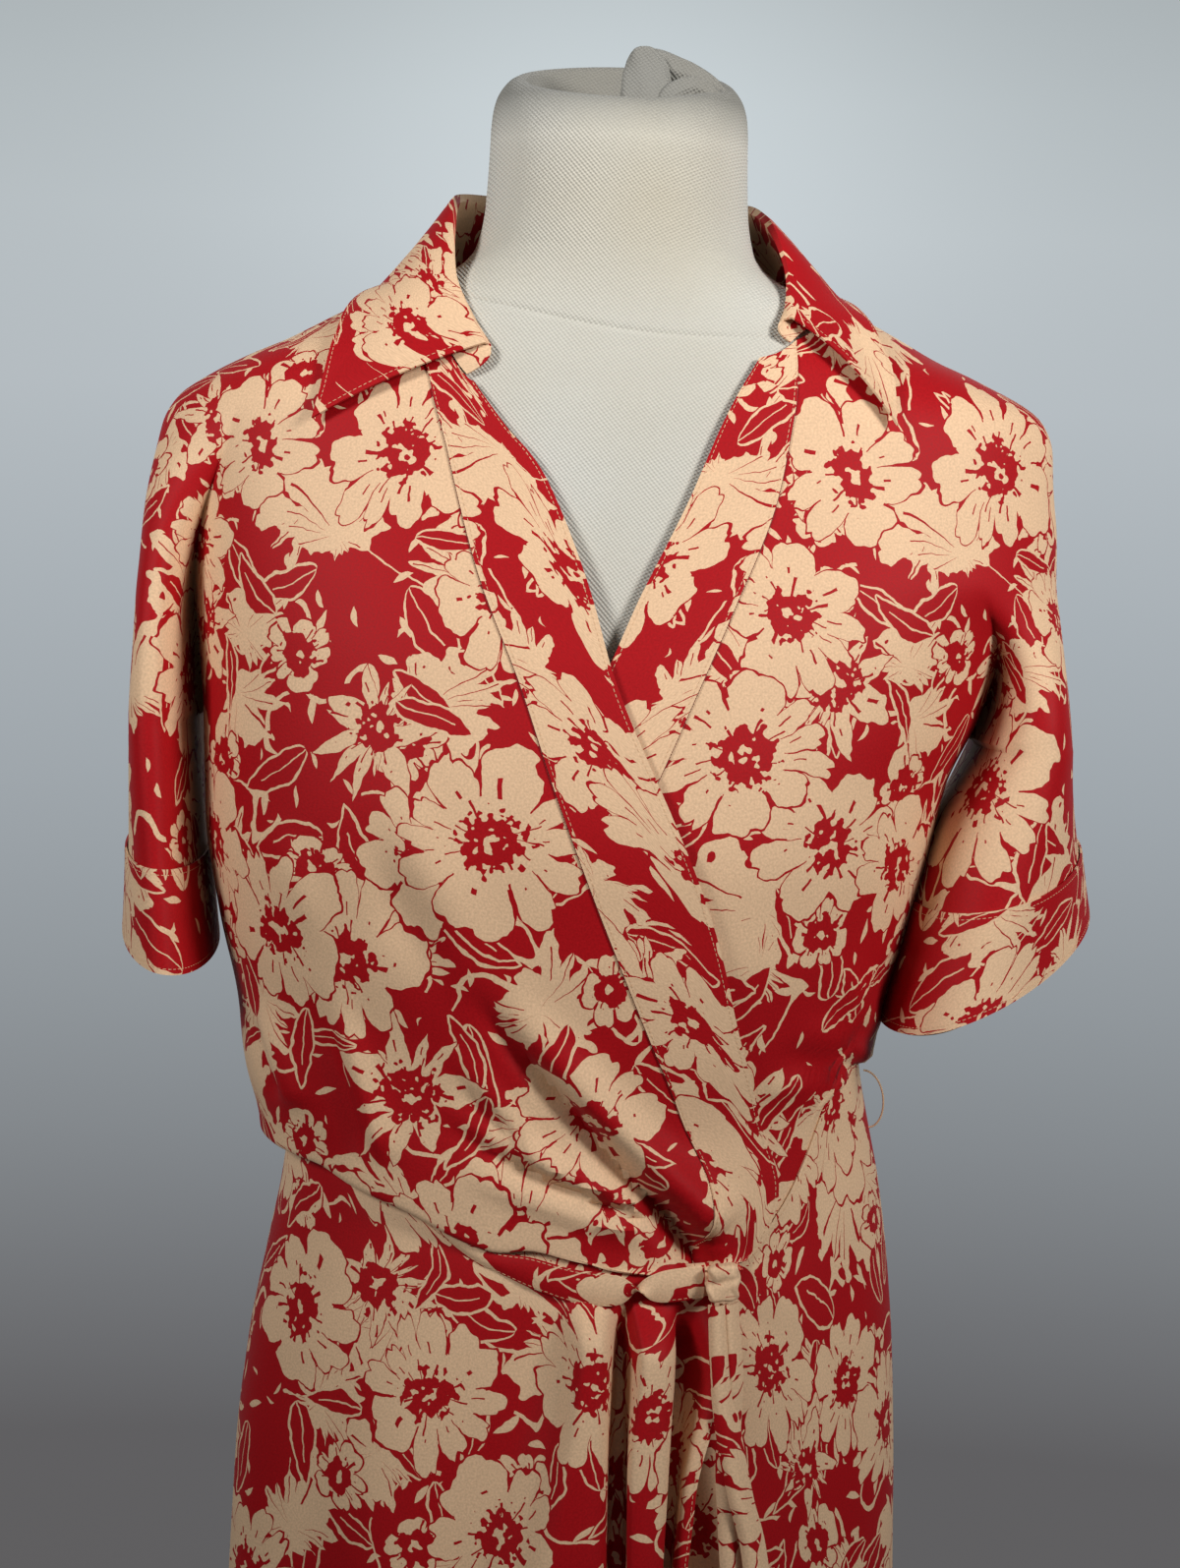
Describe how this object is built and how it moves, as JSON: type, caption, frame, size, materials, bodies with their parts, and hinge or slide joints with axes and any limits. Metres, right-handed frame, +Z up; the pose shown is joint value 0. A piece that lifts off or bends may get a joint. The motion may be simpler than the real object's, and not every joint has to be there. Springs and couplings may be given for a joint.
{
  "type": "wrap dress on a dress form",
  "caption": "Wrap dress with kimono sleeves, turned-back cuffs, a pointed collar and a waist tie, on a limbless dress form with a round stand.",
  "frame": {"origin": "on the floor, at the middle of the stand's round base, under the pole", "axes": "+Z up; the dress faces -Y, and the wearer's right side is at -X"},
  "size_m": [0.4761, 0.38, 1.5393],
  "materials": {
    "print_crepe": "fine pebbled crepe with a two-colour flower print",
    "jersey_cover": "matte knitted jersey",
    "stand_plate_paint": "satin",
    "stand_paint": "satin"
  },
  "bodies": {
    "root": {"back_bodice": "print_crepe", "right_front": "print_crepe", "left_front": "print_crepe", "right_front_band": "print_crepe", "left_front_band": "print_crepe", "collar": "print_crepe", "right_cuff": "print_crepe", "left_cuff": "print_crepe", "back_skirt": "print_crepe", "right_front_skirt": "print_crepe", "left_front_skirt": "print_crepe", "waist_tie": "print_crepe", "tie_knot": "print_crepe", "tie_tail_long": "print_crepe", "tie_tail_short": "print_crepe", "side_loop": "print_crepe", "form_torso": "jersey_cover", "form_neck": "jersey_cover", "neck_twist": "jersey_cover", "stand_plate": "stand_plate_paint", "stand_pole": "stand_paint", "stand_base": "stand_paint"}
  },
  "joints": []
}
